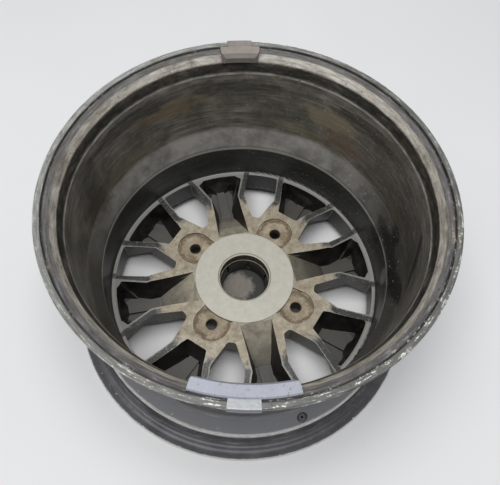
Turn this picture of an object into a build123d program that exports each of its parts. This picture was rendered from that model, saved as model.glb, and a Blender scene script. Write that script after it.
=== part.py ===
"""Cast aluminium wheel rim, 14 x 8 in with four studs, for a side-by-side off-road vehicle.

The rim lies on its street side. Z is the axle line and points to the vehicle, and the
origin is the centre of the hub face that bolts against the vehicle's hub. Sections of
turned forms are drawn as (radius, z). All sizes are in millimetres.
"""

from build123d import *
from math import cos, radians, sin, tan
import os

os.makedirs("parts", exist_ok=True)

# Rim contour
bead_seat_dia = 354.8  # 14 in rim
rim_width = 203.2  # 8 in between the flange faces
flange_height = 17.3
flange_thickness = 10.05
flange_roll_radius = 9.0
bead_seat_width = 20.0
bead_seat_taper = 5.0
bead_seat_fillet = 6.5
hump_height = 1.1
hump_run = 7.0
well_depth = 17.3
barrel_wall = 4.4
barrel_draft = 3.0

# Turned steps on the back of the inboard flange, in from the lip and down from its edge
land_width = 6.1
groove_width = 1.5
groove_fall = 1.9
face_width = 6.1
face_rise = 0.3
face_fall = 3.1
cone_width = 4.6
cone_fall = 10.9
flange_root_fall = 24.6
flange_root_step = 1.6

# Places along the axle line, from the hub face
front_depth = 52.65  # hub face to the outboard edge
well_inboard_z = 44.0
well_outboard_z = -1.0
well_side_run = 22.0
spoke_ledge_z = -10.2
spider_face_z = -0.6
spoke_drop_radius = 106.0

# Hub
bore_dia = 57.4
bore_chamfer = 2.0
bore_depth = 14.0
cap_bore_dia = 56.0
hub_ring_dia = 113.2
hub_front_z = -36.5
boss_front_z = -40.0
boss_dia = 78.0
cap_seat_dia = 62.4
cap_seat_depth = 4.0

# Studs
stud_circle_dia = 137.0
stud_count = 4
stud_hole_dia = 12.5
stud_seat_dia = 24.0
stud_seat_angle = 60.0
stud_seat_z = -20.0
nut_well_dia = 29.0
stud_pad_radius = 20.5
stud_pad_depth = 2.5
stud_angle = 62.0

# Spokes and windows
window_count = 8
window_end_step = 0.4
window_main_end_half = 20.0  # on the side of the main spoke
window_stud_end_half = 16.0  # on the side of the stud spoke
window_kink_radius = 109.0
window_main_kink_half = 19.0
window_stud_kink_half = 17.8
window_tip_radius = 81.0
window_tip_half = 4.2
window_corner_fillet = 3.0
window_kink_fillet = 6.0
window_kink_spread = 16.0  # how far each corner is moved by the height of the outboard edge
window_kink_reach = 20.0
window_end_spread = 5.0
window_tip_spread = 6.0
window_tip_reach = 5.0
rib_width = 8.0
pocket_draft = 13.0
spoke_front_drop = 3.5  # the spokes' front falls this much towards the lip
front_skin = 4.8
spoke_ledge_width = 4.6
ledge_step = 1.6
pocket_root_fillet = 2.0
main_pocket_root_half = 18.6
main_pocket_neck_radius = 93.0
main_pocket_neck_half = 16.8
stud_pocket_root_radius = 97.0
stud_pocket_root_half = 12.4
ridge_start_half = 6.4
ridge_end_half = 4.8
ridge_flare_half = 28.0
ridge_z = -30.5
ridge_start_radius = 98.0
ridge_end_gap = 12.0
ridge_step = 1.4
spoke_groove_half = 3.2
spoke_groove_depth = 3.6
main_groove_start_radius = 60.0
stud_groove_start_radius = 103.0
groove_end_gap = 18.0

# Front of the rim
front_gutter_wall = 4.0
front_gutter_z = -30.0

# Balance weights, as (middle angle, angle covered, angle of the steel clip)
weight_places = {"weight": (272.5, 28.2, 8.0), "small_weight": (97.4, 12.8, 7.6)}
weight_rise = 1.0
weight_foot_reach = 3.0
weight_foot_rise = 1.6
weight_inner_reach = 3.6
weight_inner_rise = 8.5
weight_corner_fillet = 6.0
clip_thickness = 1.2
clip_tongue_reach = 14.0
clip_hook_angle = 35.0
weight_gap = 0.1

# Valve
valve_angle = 295.2
valve_radius = 167.6
valve_seat_z = -12.2
valve_tilt = 27.0
valve_hole_dia = 8.3
valve_web = 3.5
valve_spot_dia = 11.6
valve_relief_dia = 13.0
valve_length = 32.0
valve_gap = 0.1
valve_thread_dia = 7.7

# Centre cap
cap_gap = 0.3
cap_face_thickness = 2.6
cap_floor_z = -33.5
cap_skirt_wall = 2.3
cap_skirt_gap = 0.5
cap_skirt_drop = 1.0
cap_finger_count = 6
cap_slot_width = 3.0

# Places worked out from the sizes above
bead_seat_radius = bead_seat_dia / 2
lip_radius = bead_seat_radius + flange_height
outboard_z = -front_depth
outboard_face_z = outboard_z + flange_thickness
inboard_face_z = outboard_face_z + rim_width
inboard_z = inboard_face_z + flange_thickness
well_radius = bead_seat_radius - well_depth
seat_drop = bead_seat_width * tan(radians(bead_seat_taper))
seat_inner_radius = bead_seat_radius - seat_drop
hump_radius = seat_inner_radius + hump_height
bore_radius = bore_dia / 2
hub_ring_radius = hub_ring_dia / 2
spider_root_radius = hub_ring_radius + 0.4
half_pitch = 180.0 / window_count
main_spoke_angle = stud_angle - 2 * half_pitch
window_angle = stud_angle - half_pitch
roll_centre_radius = lip_radius - flange_roll_radius
spoke_front_rim_z = hub_front_z - spoke_front_drop
ledge_radius = well_radius - barrel_wall - ledge_step
pocket_end_radius = ledge_radius - spoke_ledge_width
window_end_radius = pocket_end_radius - window_end_step
ridge_end_radius = pocket_end_radius - ridge_end_gap
cut_reach = lip_radius  # cutters reach past all that they cut


def rib_side(radius, half, top_z=spider_face_z):
    """Point of a spoke's hollow, one rib away at this height from the window beside it."""
    turn = radians(half_pitch)
    away = half + rib_width + top_z * tan(radians(pocket_draft))
    return (radius * cos(turn) + away * sin(turn), radius * sin(turn) - away * cos(turn))


def mirrored(points):
    """Outline with a second half mirrored across the spoke's centre line."""
    return points + [(x, -y) for x, y in reversed(points)]


# ---- Wheel: one casting, turned on the bead seats, the hub face and the ledge ----
barrel_drop = tan(radians(barrel_draft))
outer_wall_top = seat_inner_radius - hump_height
outer_wall_low = outer_wall_top - barrel_drop * (
    inboard_face_z - bead_seat_width - well_inboard_z - well_side_run
)
face_outer_radius = lip_radius - land_width - groove_width
cone_outer_radius = face_outer_radius - face_width
cone_inner_radius = cone_outer_radius - cone_width
back_lines = [
    (lip_radius - land_width, inboard_z),
    (lip_radius - land_width - groove_width / 2, inboard_z - groove_fall),
    (face_outer_radius, inboard_z - groove_fall + face_rise),
    (cone_outer_radius, inboard_z - face_fall),
    (cone_inner_radius, inboard_z - cone_fall),
    (outer_wall_top - barrel_wall + flange_root_step, inboard_z - flange_root_fall),
]

with BuildPart() as wheel:
    with BuildSketch(Plane.XZ) as section:
        with BuildLine():
            inboard_roll = CenterArc(
                (roll_centre_radius, inboard_face_z + flange_roll_radius),
                flange_roll_radius,
                0,
                -90,
            )
            Polyline(
                inboard_roll @ 1,
                (bead_seat_radius, inboard_face_z),
                (seat_inner_radius, inboard_face_z - bead_seat_width),
                (hump_radius, inboard_face_z - bead_seat_width - hump_run / 2),
                (outer_wall_top, inboard_face_z - bead_seat_width - 1.5 * hump_run),
                (outer_wall_low, well_inboard_z + well_side_run),
                (well_radius, well_inboard_z),
                (well_radius, well_outboard_z),
                (outer_wall_top, outboard_face_z + bead_seat_width + 1.25 * hump_run),
                (hump_radius, outboard_face_z + bead_seat_width + hump_run / 2),
                (seat_inner_radius, outboard_face_z + bead_seat_width),
                (bead_seat_radius, outboard_face_z),
                (roll_centre_radius, outboard_face_z),
            )
            outboard_roll = CenterArc(
                (roll_centre_radius, outboard_face_z - flange_roll_radius),
                flange_roll_radius,
                90,
                -90,
            )
            Polyline(
                outboard_roll @ 1,
                (lip_radius, outboard_z),
                (lip_radius - 7.5, outboard_z),
                (lip_radius - 12.5, outboard_z + 2.6),
                (bead_seat_radius - barrel_wall - 1.2, outboard_z + 8.0),
                (seat_inner_radius - barrel_wall - 2.6, front_gutter_z),
                (pocket_end_radius + front_gutter_wall + 2.5, front_gutter_z),
                (pocket_end_radius + front_gutter_wall, spoke_front_rim_z),
                (pocket_end_radius, spoke_front_rim_z),
                (hub_ring_radius, hub_front_z),
                (boss_dia / 2 + 4.0, hub_front_z),
                (boss_dia / 2, boss_front_z),
                (cap_seat_dia / 2, boss_front_z),
                (cap_seat_dia / 2, boss_front_z + cap_seat_depth),
                (cap_bore_dia / 2, boss_front_z + cap_seat_depth),
                (cap_bore_dia / 2, -bore_depth),
                (bore_radius, -bore_depth),
                (bore_radius, -bore_chamfer),
                (bore_radius + bore_chamfer, 0),
                (hub_ring_radius, 0),
                (spider_root_radius, spider_face_z),
                (spoke_drop_radius, spider_face_z),
                (window_end_radius, spoke_ledge_z),
                (ledge_radius, spoke_ledge_z),
                (well_radius - barrel_wall, well_inboard_z - 3.0),
                (outer_wall_low - barrel_wall, well_inboard_z + well_side_run - 2.0),
                *reversed(back_lines),
                (lip_radius, inboard_z),
                inboard_roll @ 0,
            )
        make_face()
        corners = section.vertices()
        fillet(
            [v for v in corners if abs(v.X - bead_seat_radius) < 0.01],
            bead_seat_fillet,
        )
        corners = section.vertices()
        fillet([v for v in corners if abs(v.X - hump_radius) < 0.01], 2.4)
        fillet(
            [v for v in section.vertices() if abs(v.X - well_radius) < 0.01],
            8.0,
        )
        fillet(
            [
                v
                for v in section.vertices()
                if abs(v.X - outer_wall_low) < 0.01 or abs(v.X - outer_wall_low + barrel_wall) < 0.01
            ],
            9.0,
        )
        fillet(
            [v for v in section.vertices() if abs(v.X - ledge_radius) < 0.01],
            2.5,
        )
        fillet(
            [v for v in section.vertices() if abs(v.X - well_radius + barrel_wall) < 0.01],
            6.0,
        )
        fillet(
            [
                v
                for v in section.vertices()
                if v.X > lip_radius - 0.01 and min(abs(v.Y - inboard_z), abs(v.Y - outboard_z)) < 0.01
            ],
            0.9,
        )
    revolve(axis=Axis.Z)


def front_section(depth):
    """Section of all that lies in front of the spokes' face and this deep behind it."""
    with BuildSketch(Plane.XZ) as front:
        with BuildLine():
            Polyline(
                (0, hub_front_z + depth),
                (hub_ring_radius, hub_front_z + depth),
                (pocket_end_radius, spoke_front_rim_z + depth),
                (cut_reach, spoke_front_rim_z + depth),
                (cut_reach, -cut_reach),
                (0, -cut_reach),
                close=True,
            )
        make_face()
    return front.sketch


def hollow(outline, keel_plan, keel_side):
    """Cutter for the hollow behind one spoke: its outline down to the front skin, less the keel."""
    with BuildPart() as keel:
        with BuildSketch(Plane.XY.offset(outboard_z)):
            with BuildLine():
                Polyline(*mirrored(keel_plan), close=True)
            make_face()
        extrude(amount=cut_reach)
        with BuildSketch(Plane.XZ):
            with BuildLine():
                Polyline(*keel_side, close=True)
            make_face()
        extrude(amount=cut_reach, both=True, mode=Mode.INTERSECT)
    with BuildPart() as cutter:
        with BuildSketch(Plane.XY.rotated((180, 0, 0))) as plan:
            with BuildLine():
                Polyline(*mirrored(outline), close=True)
            make_face()
            Circle(pocket_end_radius, mode=Mode.INTERSECT)
            Circle(spider_root_radius, mode=Mode.SUBTRACT)
            far_corners = [v for v in plan.vertices() if v.X > pocket_end_radius - 15]
            fillet(far_corners, window_corner_fillet)
            root_corners = [
                v
                for v in plan.vertices()
                if spider_root_radius + 5 < v.X < stud_pocket_root_radius + 1
            ]
            fillet(root_corners, pocket_root_fillet)
        extrude(amount=front_depth, taper=pocket_draft)
        with BuildPart(mode=Mode.PRIVATE) as skin:
            add(front_section(front_skin))
            revolve(axis=Axis.Z)
        add(skin.part, mode=Mode.SUBTRACT)
        add(keel.part, mode=Mode.SUBTRACT)
    return cutter.part


def spoke_groove(start_radius):
    """Cutter for the round-ended groove along the front of one spoke."""
    end_radius = pocket_end_radius - groove_end_gap
    with BuildPart() as cutter:
        with BuildSketch(Plane.XY.offset(-cut_reach)):
            with Locations(((start_radius + end_radius) / 2, 0)):
                SlotOverall(end_radius - start_radius, 2 * spoke_groove_half)
        extrude(amount=cut_reach)
        with BuildPart(mode=Mode.PRIVATE) as front:
            add(front_section(spoke_groove_depth))
            revolve(axis=Axis.Z)
        add(front.part, mode=Mode.INTERSECT)
    return cutter.part


# Between the spokes and the lip the ridge turns up to the ledge and flares to the full width
ridge_end_rise = (pocket_end_radius + 1.0, spoke_ledge_z - 0.5)
main_hollow = hollow(
    outline=[
        (hub_ring_radius - 10.0, main_pocket_root_half),
        (main_pocket_neck_radius, main_pocket_neck_half),
        rib_side(window_kink_radius, window_main_kink_half),
        rib_side(pocket_end_radius + 12.0, window_main_end_half, spoke_ledge_z),
    ],
    keel_plan=[
        (hub_ring_radius - 10.0, main_pocket_root_half + 2.0),
        (hub_ring_radius, main_pocket_root_half + 1.0),
        (ridge_start_radius, ridge_start_half + 2.5),
        (ridge_start_radius, ridge_start_half),
        (ridge_end_radius, ridge_end_half),
        (pocket_end_radius + 1.0, ridge_flare_half),
    ],
    keel_side=[
        (hub_ring_radius - 10.0, spider_face_z),
        (spider_root_radius, spider_face_z - 0.4),
        (ridge_start_radius, ridge_z - ridge_step),
        (ridge_start_radius + 0.8, ridge_z),
        (ridge_end_radius, ridge_z),
        ridge_end_rise,
        (ridge_end_rise[0] + 5.0, outboard_z),
        (hub_ring_radius - 10.0, outboard_z),
    ],
)
stud_hollow = hollow(
    outline=[
        (stud_pocket_root_radius, stud_pocket_root_half),
        rib_side(window_kink_radius, window_stud_kink_half),
        rib_side(pocket_end_radius + 12.0, window_stud_end_half, spoke_ledge_z),
    ],
    keel_plan=[
        (stud_pocket_root_radius + 5.0, ridge_start_half),
        (ridge_end_radius, ridge_end_half),
        (pocket_end_radius + 1.0, ridge_flare_half),
    ],
    keel_side=[
        (stud_pocket_root_radius + 5.0, ridge_z),
        (ridge_end_radius, ridge_z),
        ridge_end_rise,
        (ridge_end_rise[0] + 5.0, outboard_z),
        (stud_pocket_root_radius + 5.0, outboard_z),
    ],
)

valve_turn = radians(valve_angle)
valve_lean = radians(valve_tilt)
valve_seat = Plane(
    origin=(valve_radius * cos(valve_turn), valve_radius * sin(valve_turn), valve_seat_z),
    x_dir=(-sin(valve_turn), cos(valve_turn), 0),
    z_dir=(
        sin(valve_lean) * cos(valve_turn),
        sin(valve_lean) * sin(valve_turn),
        cos(valve_lean),
    ),
)



def window_outline(z, share):
    """Outline of a window at this height, its main spoke on the left, spread by this share."""
    tip_radius = window_tip_radius - share * window_tip_reach
    tip_half = window_tip_half + share * window_tip_spread
    kink_radius = window_kink_radius + share * window_kink_reach
    kink_spread = share * window_kink_spread
    end_spread = share * window_end_spread
    with BuildSketch(Plane.XY.offset(z)) as outline:
        with BuildLine():
            Polyline(
                (tip_radius, -tip_half),
                (kink_radius, -window_stud_kink_half - kink_spread),
                (window_end_radius, -window_stud_end_half - end_spread),
                (window_end_radius + 10.0, -window_stud_end_half - end_spread),
                (window_end_radius + 10.0, window_main_end_half + end_spread),
                (window_end_radius, window_main_end_half + end_spread),
                (kink_radius, window_main_kink_half + kink_spread),
                (tip_radius, tip_half),
                close=True,
            )
        make_face()
        Circle(window_end_radius, mode=Mode.INTERSECT)
        fillet([v for v in outline.vertices() if v.X < tip_radius + 1], window_tip_half)
        far_corners = [v for v in outline.vertices() if v.X > kink_radius + 3]
        fillet(far_corners, window_corner_fillet)
        kinks = [v for v in outline.vertices() if abs(v.X - kink_radius) < 0.01]
        fillet(kinks, window_kink_fillet)
    return outline.sketch


# The spokes narrow towards the street side, so each window is wider there at its kinks and tip
with BuildPart() as window_cut:
    loft([window_outline(0, 0.0), window_outline(outboard_z, 1.0)], ruled=True)

with BuildPart() as stud_cut:
    pad_z = spider_face_z - stud_pad_depth
    with BuildSketch(Plane.XY.offset(pad_z)):
        with Locations((stud_circle_dia / 2, 0)):
            Circle(stud_pad_radius)
        with BuildLine():
            Polyline(
                *mirrored(
                    [
                        (hub_ring_radius - 10.0, stud_pad_radius - 3.0),
                        (stud_circle_dia / 2, stud_pad_radius),
                    ]
                ),
                close=True,
            )
        make_face()
        Circle(spider_root_radius, mode=Mode.SUBTRACT)
    extrude(amount=cut_reach)
    seat_slope = tan(radians(stud_seat_angle / 2))
    seat_height = (stud_seat_dia - stud_hole_dia) / 2 / seat_slope
    with Locations((stud_circle_dia / 2, 0, 0)):
        Cylinder(stud_hole_dia / 2, cut_reach)
    with Locations((stud_circle_dia / 2, 0, stud_seat_z)):
        Cylinder(nut_well_dia / 2, cut_reach, align=(Align.CENTER, Align.CENTER, Align.MAX))
        Cone(
            stud_seat_dia / 2,
            stud_hole_dia / 2,
            seat_height,
            align=(Align.CENTER, Align.CENTER, Align.MIN),
        )

with wheel:
    with PolarLocations(0, stud_count, start_angle=stud_angle + half_pitch):
        add(window_cut.part, mode=Mode.SUBTRACT)
    with PolarLocations(0, stud_count, start_angle=window_angle):
        add(window_cut.part.mirror(Plane.XZ), mode=Mode.SUBTRACT)
    with PolarLocations(0, stud_count, start_angle=main_spoke_angle):
        add(main_hollow, mode=Mode.SUBTRACT)
    with PolarLocations(0, stud_count, start_angle=stud_angle):
        add(stud_hollow, mode=Mode.SUBTRACT)
        add(stud_cut.part, mode=Mode.SUBTRACT)
        add(spoke_groove(stud_groove_start_radius), mode=Mode.SUBTRACT)
    with PolarLocations(0, stud_count, start_angle=main_spoke_angle):
        add(spoke_groove(main_groove_start_radius), mode=Mode.SUBTRACT)
    with BuildSketch(valve_seat):
        Circle(valve_spot_dia / 2)
    extrude(amount=valve_spot_dia, mode=Mode.SUBTRACT)
    with BuildSketch(valve_seat):
        Circle(valve_hole_dia / 2)
    extrude(amount=-valve_web - 1, mode=Mode.SUBTRACT)
    with BuildSketch(valve_seat.offset(-valve_web)):
        Circle(valve_relief_dia / 2)
    extrude(amount=-1.5 * valve_length, mode=Mode.SUBTRACT)
wheel.part.label = "wheel"
export_step(wheel.part, "parts/wheel.step")

# ---- Balance weights: a cast body on the inboard flange, held by a steel clip over its lip ----
lip_corner = 1.1
roll_centre = (roll_centre_radius, inboard_z - lip_corner)
clip_inner_roll = flange_roll_radius + weight_gap
clip_outer_roll = clip_inner_roll + clip_thickness
clip_low_z = inboard_z + weight_gap
clip_high_z = clip_low_z + clip_thickness
clip_tongue_radius = lip_radius - clip_tongue_reach
weight_outer_radius = lip_radius - 8.3
weight_top_z = clip_high_z + weight_rise


def clip_section(grow=0.0):
    """Section of the steel clip: a tongue inside the weight, a flat over the lip and a hook."""
    low, high = clip_low_z - grow, clip_high_z + grow
    corner_radius = lip_radius - lip_corner
    with BuildSketch(Plane.XZ) as clip:
        with BuildLine():
            Line((clip_tongue_radius - grow, low), (corner_radius, low))
            inner = CenterArc(
                (corner_radius, inboard_z - lip_corner),
                lip_corner + weight_gap - grow,
                90,
                -90,
            )
            hook = CenterArc(roll_centre, clip_inner_roll - grow, 0, -clip_hook_angle)
            far = CenterArc(roll_centre, clip_outer_roll + grow, -clip_hook_angle, clip_hook_angle)
            Line(hook @ 1, far @ 0)
            outer = CenterArc(
                (corner_radius, inboard_z - lip_corner),
                lip_corner + weight_gap + clip_thickness + grow,
                0,
                90,
            )
            Line(outer @ 1, (clip_tongue_radius - grow, high))
            Line((clip_tongue_radius - grow, high), (clip_tongue_radius - grow, low))
        make_face()
    return clip.sketch


def sector(middle, covered, inner, rounding=0.0):
    """Ring sector with rounded inner corners, as a tall prism to cut a turned form to length."""
    turn = radians(covered / 2)
    far = 2 * lip_radius
    with BuildPart() as prism:
        with BuildSketch(Plane.XY.offset(inboard_z - cut_reach / 2)) as plan:
            Circle(lip_radius + cut_reach)
            Circle(inner, mode=Mode.SUBTRACT)
            with BuildLine():
                Polyline(
                    (0, 0),
                    (far * cos(turn), far * sin(turn)),
                    (far * cos(turn), -far * sin(turn)),
                    close=True,
                )
            make_face(mode=Mode.INTERSECT)
            if rounding:
                inner_corners = [v for v in plan.vertices() if v.X < inner + 0.01]
                fillet(inner_corners, rounding)
        extrude(amount=cut_reach)
    return prism.part.rotate(Axis.Z, middle)


for name, (middle, covered, clip_covered) in weight_places.items():
    with BuildPart() as body:
        with BuildSketch(Plane.XZ):
            with BuildLine():
                face_low, cone_top, cone_low = back_lines[2], back_lines[3], back_lines[4]
                Polyline(
                    (weight_outer_radius, face_low[1] + weight_gap),
                    (cone_top[0], cone_top[1] + weight_gap),
                    (cone_low[0] - weight_gap, cone_low[1] + weight_gap),
                    (cone_low[0] - weight_foot_reach, cone_low[1] + weight_foot_rise),
                    (cone_low[0] - weight_inner_reach, cone_low[1] + weight_inner_rise),
                    (cone_low[0] - 1.0, weight_top_z),
                    (weight_outer_radius - 1.2, weight_top_z + 0.2),
                    (weight_outer_radius, weight_top_z - 0.8),
                    close=True,
                )
            make_face()
        revolve(axis=Axis.Z)
        add(
            sector(middle, covered, cone_low[0] - weight_inner_reach, weight_corner_fillet),
            mode=Mode.INTERSECT,
        )
        with BuildPart(mode=Mode.PRIVATE) as slot:
            add(clip_section(weight_gap))
            revolve(axis=Axis.Z)
            add(
                sector(middle, clip_covered + 0.1, cone_low[0] - weight_inner_reach),
                mode=Mode.INTERSECT,
            )
        add(slot.part, mode=Mode.SUBTRACT)
    body.part.label = name
    export_step(body.part, f"parts/{name}.step")

    with BuildPart() as clip:
        add(clip_section())
        revolve(axis=Axis.Z)
        add(
            sector(middle, clip_covered, cone_low[0] - weight_inner_reach),
            mode=Mode.INTERSECT,
        )
    clip.part.label = f"{name}_clip"
    export_step(clip.part, f"parts/{name}_clip.step")

# ---- Valve: a snap-in rubber body on a brass stem, with its core and screw cap ----
# Drawn along the valve's own axis: z is 0 at the seat and grows towards the tyre
base_height = 2.6
base_edge_drop = 1.4
base_rim = 0.8
base_radius = valve_spot_dia / 2 - base_rim
neck_radius = valve_hole_dia / 2 - valve_gap
rubber_end = -18.0
rubber_end_radius = 4.7
rubber_shoulder_radius = valve_relief_dia / 2 - 1.2
rubber_shoulder_length = 3.0
thread_radius = valve_thread_dia / 2
shank_radius = 2.6
shank_end = rubber_end + 1.5
stem_foot = 0.8
stem_end = -valve_length
stem_end_chamfer = 0.5
air_hole_radius = 1.3
core_chamber_radius = 2.5
core_chamber_depth = 16.0
core_chamber_end = stem_end + core_chamber_depth
core_radius = core_chamber_radius - valve_gap
core_neck_radius = core_radius - 0.7
core_bore_radius = 1.15
core_foot_thickness = 1.2
core_head_end = stem_end + 2.0
core_foot = core_head_end + 11.0
pin_radius = 0.5
pin_gap = 0.12
pin_collar_z = core_head_end + 1.6
pin_collar_height = 0.5
pin_end = stem_end + 0.4
seal_height = 2.0
seal_z = core_head_end + 4.4
valve_disc_height = 1.4
spring_wire = 0.3
spring_turns = 3
spring_gap = 0.05
cap_outer_radius = 4.9
cap_edge = 0.8
cap_bore_radius = thread_radius + valve_gap
cap_mouth = rubber_end - 0.6
cap_closed_z = stem_end - 1.6
cap_top_thickness = 1.4
cap_end = cap_closed_z - cap_top_thickness
cap_flutes = 18
cap_flute_radius = 0.6
cap_flute_length = 6.5
gasket_height = 1.2


def turned(*points):
    """Sketch of a closed section to be turned about the valve's axis."""
    with BuildSketch(Plane.XZ) as face:
        with BuildLine():
            Polyline(*points, close=True)
        make_face()
    return face.sketch


with BuildPart() as valve_rubber:
    add(
        turned(
            (air_hole_radius, base_height),
            (base_radius - base_edge_drop, base_height),
            (base_radius, base_height - base_edge_drop),
            (base_radius, valve_gap),
            (neck_radius, valve_gap),
            (neck_radius, -valve_web - valve_gap),
            (rubber_shoulder_radius, -valve_web - valve_gap),
            (rubber_shoulder_radius - 0.4, -valve_web - rubber_shoulder_length),
            (rubber_end_radius, rubber_end),
            (thread_radius, rubber_end),
            (thread_radius, rubber_end + 0.5),
            (shank_radius, shank_end),
            (shank_radius, stem_foot),
            (air_hole_radius, stem_foot),
        )
    )
    revolve(axis=Axis.Z)

with BuildPart() as valve_stem:
    add(
        turned(
            (air_hole_radius, stem_foot),
            (shank_radius, stem_foot),
            (shank_radius, shank_end),
            (thread_radius, rubber_end + 0.5),
            (thread_radius, stem_end + stem_end_chamfer),
            (thread_radius - stem_end_chamfer, stem_end),
            (core_chamber_radius, stem_end),
            (core_chamber_radius, core_chamber_end),
            (air_hole_radius, core_chamber_end + 1.5),
        )
    )
    revolve(axis=Axis.Z)

with BuildPart() as valve_core:
    add(
        turned(
            (core_bore_radius, core_head_end),
            (core_radius, core_head_end),
            (core_radius, seal_z - 0.4),
            (core_neck_radius, seal_z),
            (core_neck_radius, seal_z + seal_height + 0.2),
            (core_radius - 0.2, seal_z + seal_height + 0.6),
            (core_radius - 0.6, core_foot),
            (pin_radius + pin_gap, core_foot),
            (pin_radius + pin_gap, core_foot - core_foot_thickness),
            (core_bore_radius, core_foot - core_foot_thickness),
        )
    )
    revolve(axis=Axis.Z)

with BuildPart() as valve_core_seal:
    add(
        turned(
            (core_neck_radius + valve_gap / 4, seal_z + 0.1),
            (core_chamber_radius - valve_gap / 4, seal_z + 0.1),
            (core_chamber_radius - valve_gap / 4, seal_z + seal_height),
            (core_neck_radius + valve_gap / 4, seal_z + seal_height),
        )
    )
    revolve(axis=Axis.Z)

with BuildPart() as valve_pin:
    disc_z = core_foot + valve_gap / 2
    add(
        turned(
            (0, pin_end),
            (pin_radius, pin_end),
            (pin_radius, pin_collar_z),
            (core_bore_radius - pin_gap, pin_collar_z),
            (core_bore_radius - pin_gap, pin_collar_z + pin_collar_height),
            (pin_radius, pin_collar_z + pin_collar_height),
            (pin_radius, disc_z),
            (core_neck_radius, disc_z),
            (core_neck_radius, disc_z + valve_disc_height),
            (0, disc_z + valve_disc_height),
        )
    )
    revolve(axis=Axis.Z)

with BuildPart() as valve_core_spring:
    spring_low = pin_collar_z + pin_collar_height + spring_gap + spring_wire / 2
    spring_high = core_foot - core_foot_thickness - spring_gap - spring_wire / 2
    spring_radius = (pin_radius + core_bore_radius) / 2
    with BuildLine(Plane.XY.offset(spring_low)) as coil:
        Helix(
            pitch=(spring_high - spring_low) / spring_turns,
            height=spring_high - spring_low,
            radius=spring_radius,
        )
    with BuildSketch(Plane(origin=coil.line @ 0, z_dir=coil.line % 0)):
        Circle(spring_wire / 2)
    sweep()

with BuildPart() as valve_cap:
    add(
        turned(
            (0, cap_end),
            (cap_outer_radius - cap_edge, cap_end),
            (cap_outer_radius, cap_end + cap_edge),
            (cap_outer_radius, cap_mouth),
            (cap_bore_radius, cap_mouth),
            (cap_bore_radius, cap_closed_z),
            (0, cap_closed_z),
        )
    )
    revolve(axis=Axis.Z)
    with PolarLocations(cap_outer_radius + 0.35, cap_flutes):
        with Locations((0, 0, (cap_mouth + cap_end) / 2)):
            Cylinder(cap_flute_radius, cap_flute_length, mode=Mode.SUBTRACT)

with BuildPart() as valve_cap_gasket:
    with Locations((0, 0, cap_closed_z + valve_gap / 2)):
        Cylinder(
            thread_radius - 0.3,
            gasket_height,
            align=(Align.CENTER, Align.CENTER, Align.MIN),
        )

valve_pieces = {
    "valve_rubber": valve_rubber,
    "valve_stem": valve_stem,
    "valve_core": valve_core,
    "valve_core_seal": valve_core_seal,
    "valve_pin": valve_pin,
    "valve_core_spring": valve_core_spring,
    "valve_cap": valve_cap,
    "valve_cap_gasket": valve_cap_gasket,
}
for name, piece in valve_pieces.items():
    placed = valve_seat.location * piece.part
    placed.label = name
    export_step(placed, f"parts/{name}.step")

# ---- Centre cap: a moulded cup with sprung fingers, pressed into the bore from the street side ----
cap_seat_z = boss_front_z + cap_seat_depth
skirt_outer = cap_bore_dia / 2 - cap_skirt_gap
cap_skirt_top_z = -bore_depth - cap_skirt_drop
with BuildPart() as centre_cap:
    with BuildSketch(Plane.XZ):
        with BuildLine():
            Polyline(
                (0, cap_floor_z),
                (skirt_outer - cap_skirt_wall, cap_floor_z),
                (skirt_outer - cap_skirt_wall, cap_skirt_top_z),
                (skirt_outer, cap_skirt_top_z - 0.6),
                (skirt_outer + cap_skirt_gap / 2, cap_skirt_top_z - 2.4),
                (skirt_outer, cap_skirt_top_z - 4.5),
                (skirt_outer, cap_seat_z - weight_gap),
                (cap_seat_dia / 2 - cap_gap, cap_seat_z - weight_gap),
                (cap_seat_dia / 2 - cap_gap, boss_front_z + 1.2),
                (cap_seat_dia / 2 - 2.5, boss_front_z - 0.4),
                (cap_seat_dia / 2 - 9.0, boss_front_z - 0.8),
                (cap_seat_dia / 2 - 10.0, cap_floor_z - cap_face_thickness),
                (0, cap_floor_z - cap_face_thickness),
                close=True,
            )
        make_face()
    revolve(axis=Axis.Z)
    with BuildSketch(Plane.XY.offset(cap_floor_z + 5.0)):
        with PolarLocations(skirt_outer, cap_finger_count, start_angle=half_pitch):
            Rectangle(4 * cap_skirt_wall, cap_slot_width)
    extrude(amount=cut_reach, mode=Mode.SUBTRACT)
centre_cap.part.label = "centre_cap"
export_step(centre_cap.part, "parts/centre_cap.step")
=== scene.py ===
"""Looks of a cast aluminium wheel rim for a side-by-side off-road vehicle, lying on its street side.

Every size is in metres, in the rim's own frame: z is the axle line and points to the vehicle,
and the origin is the centre of the machined hub face.
"""

import math

import bpy
from mathutils import Matrix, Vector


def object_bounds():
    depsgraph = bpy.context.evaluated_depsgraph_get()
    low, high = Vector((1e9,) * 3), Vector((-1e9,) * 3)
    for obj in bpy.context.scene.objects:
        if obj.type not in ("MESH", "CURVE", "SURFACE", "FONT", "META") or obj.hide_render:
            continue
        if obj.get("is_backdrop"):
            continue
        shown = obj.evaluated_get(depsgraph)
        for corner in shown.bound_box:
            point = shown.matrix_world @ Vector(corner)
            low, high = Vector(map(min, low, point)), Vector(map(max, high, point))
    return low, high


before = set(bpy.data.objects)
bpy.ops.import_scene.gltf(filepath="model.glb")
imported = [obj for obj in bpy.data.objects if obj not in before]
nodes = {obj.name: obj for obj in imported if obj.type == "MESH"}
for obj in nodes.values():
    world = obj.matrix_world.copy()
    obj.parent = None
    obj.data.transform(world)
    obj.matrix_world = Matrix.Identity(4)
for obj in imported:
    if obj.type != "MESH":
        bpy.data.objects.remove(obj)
cad_low, cad_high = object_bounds()
mm = 0.001

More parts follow.
